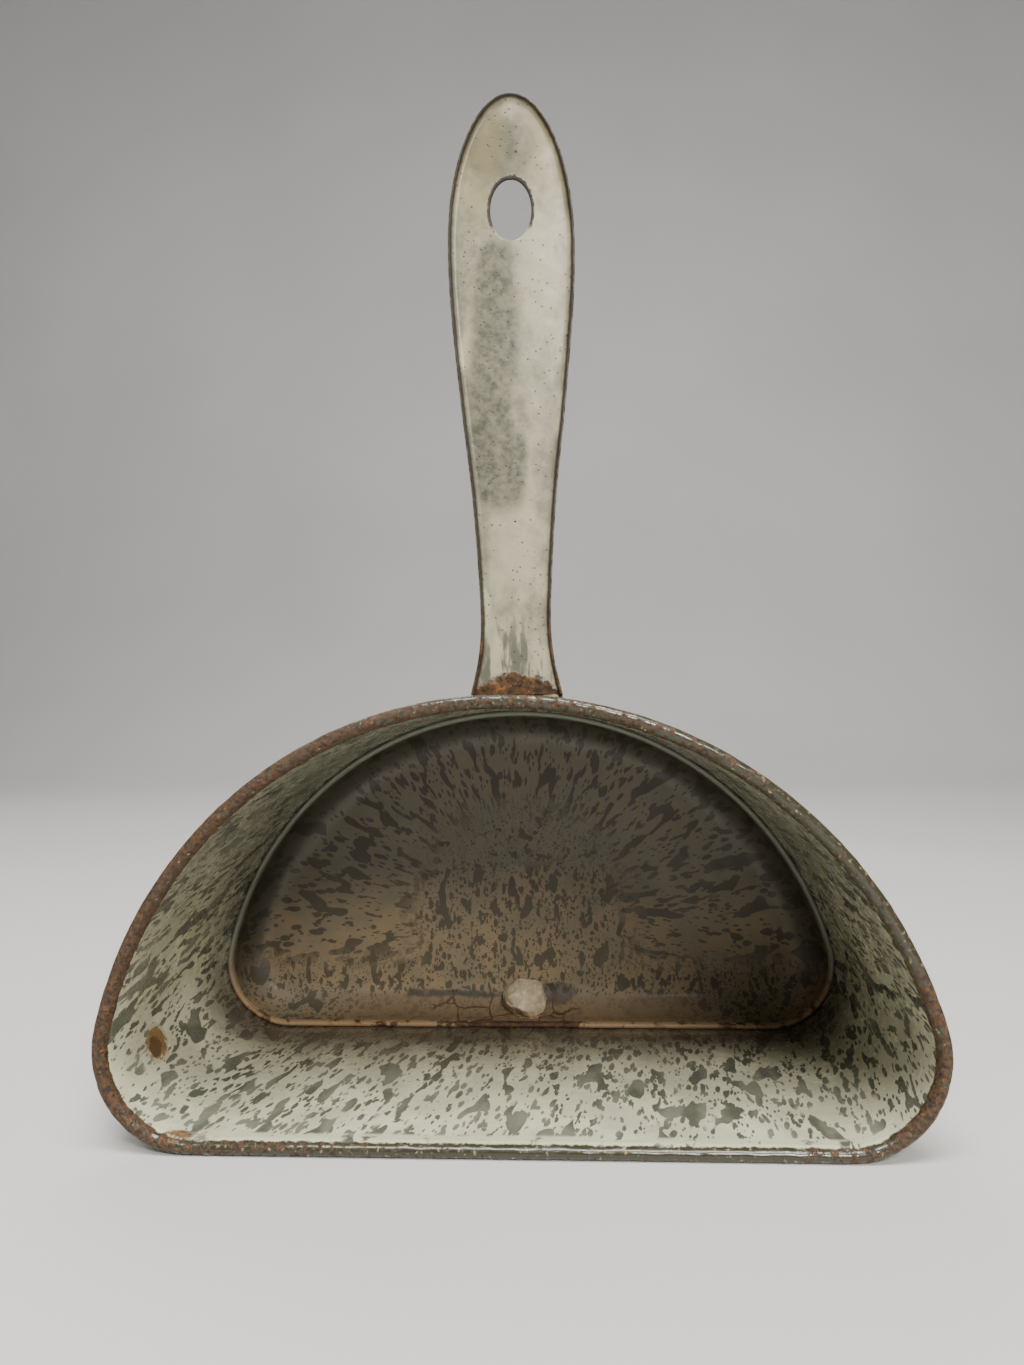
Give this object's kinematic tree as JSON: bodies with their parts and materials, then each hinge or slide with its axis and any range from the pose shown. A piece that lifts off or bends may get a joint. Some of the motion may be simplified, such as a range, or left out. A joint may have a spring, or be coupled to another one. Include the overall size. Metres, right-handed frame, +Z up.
{
  "type": "dust pan",
  "caption": "Enamelled sheet-steel dust pan with a deep half-moon mouth, wired rim, recessed base and an upright riveted handle with a hanging hole.",
  "frame": {"origin": "on the ground, under the middle of the object's bounding box, as the pan stands on its flat side", "axes": "+Z up along the handle; -Y out of the mouth, +Y towards the base dish; +X to the right seen from the mouth side"},
  "size_m": [0.2502, 0.131, 0.3156],
  "materials": {
    "mottled_enamel": "glossy grey vitreous enamel with darker mottles, rim worn through to brown oxide",
    "base_enamel": "stained mottled vitreous enamel, rusty at the seam",
    "handle_enamel": "pale grey vitreous enamel with cloudy grey patches",
    "rivet_enamel": "enamelled steel rivets, worn",
    "rim_steel": "dull steel wire",
    "plug_putty": "dried pale repair putty"
  },
  "bodies": {
    "root": {"wall_sheet": "mottled_enamel", "base_dish": "base_enamel", "handle": "handle_enamel", "handle_rivets": "rivet_enamel", "rim_wire": "rim_steel", "repair_plug": "plug_putty"}
  },
  "joints": []
}
